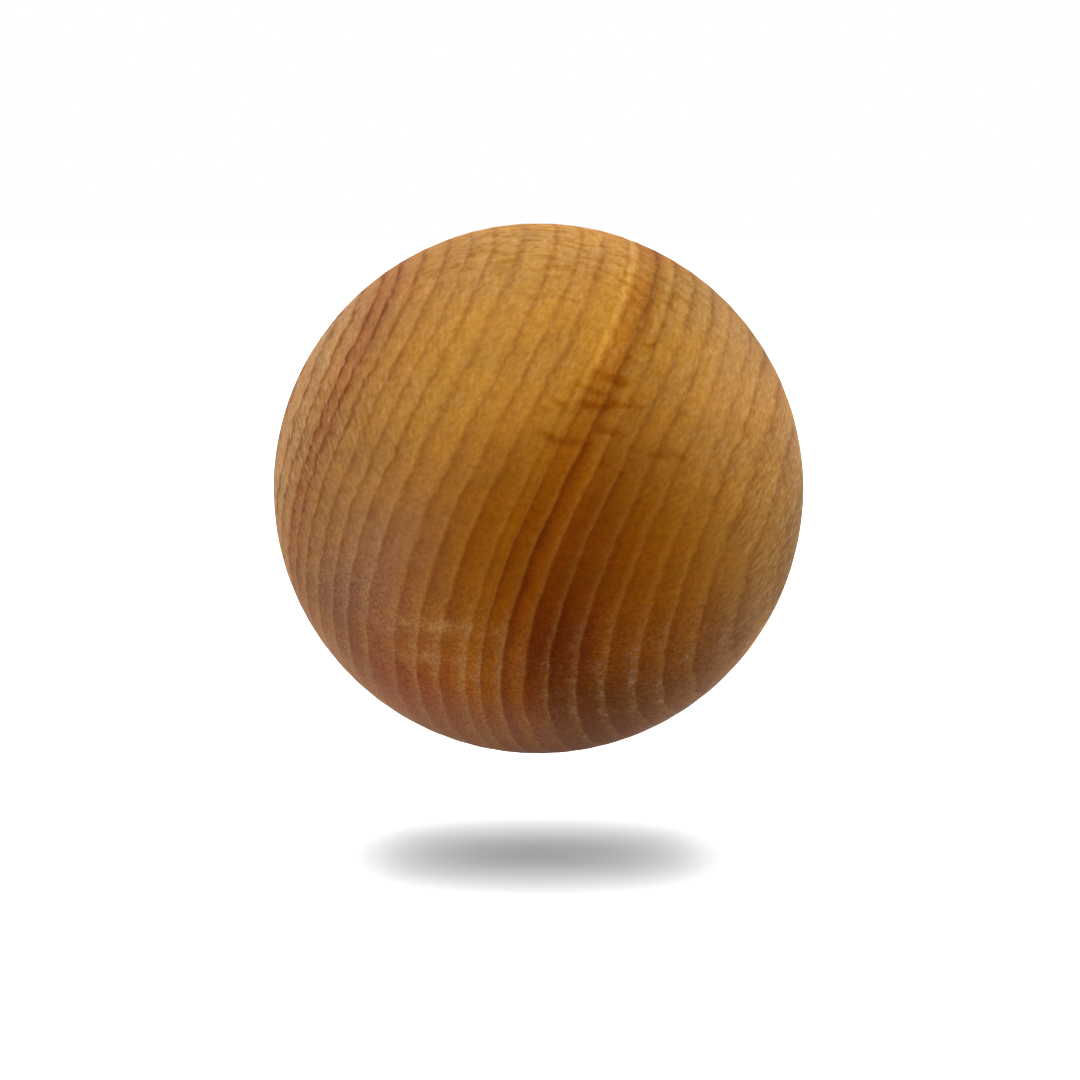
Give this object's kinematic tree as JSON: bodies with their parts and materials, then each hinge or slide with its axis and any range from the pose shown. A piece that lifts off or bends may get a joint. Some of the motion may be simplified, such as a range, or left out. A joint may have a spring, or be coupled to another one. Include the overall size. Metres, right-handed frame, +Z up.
{
  "type": "wooden ball",
  "caption": "Plain solid wooden ball, turned in one piece from clear-grained timber with an oiled satin finish; it rolls, or sits in a cup, ring or dished stand.",
  "frame": {"origin": "the ball's centre", "axes": "+Z up as in the picture, -Y towards the camera side of the picture, +X to the picture's right"},
  "size_m": [0.05, 0.05, 0.05],
  "materials": {
    "oiled_wood": "sanded and oiled, satin, with fine growth rings"
  },
  "bodies": {
    "root": {"ball": "oiled_wood"}
  },
  "joints": []
}
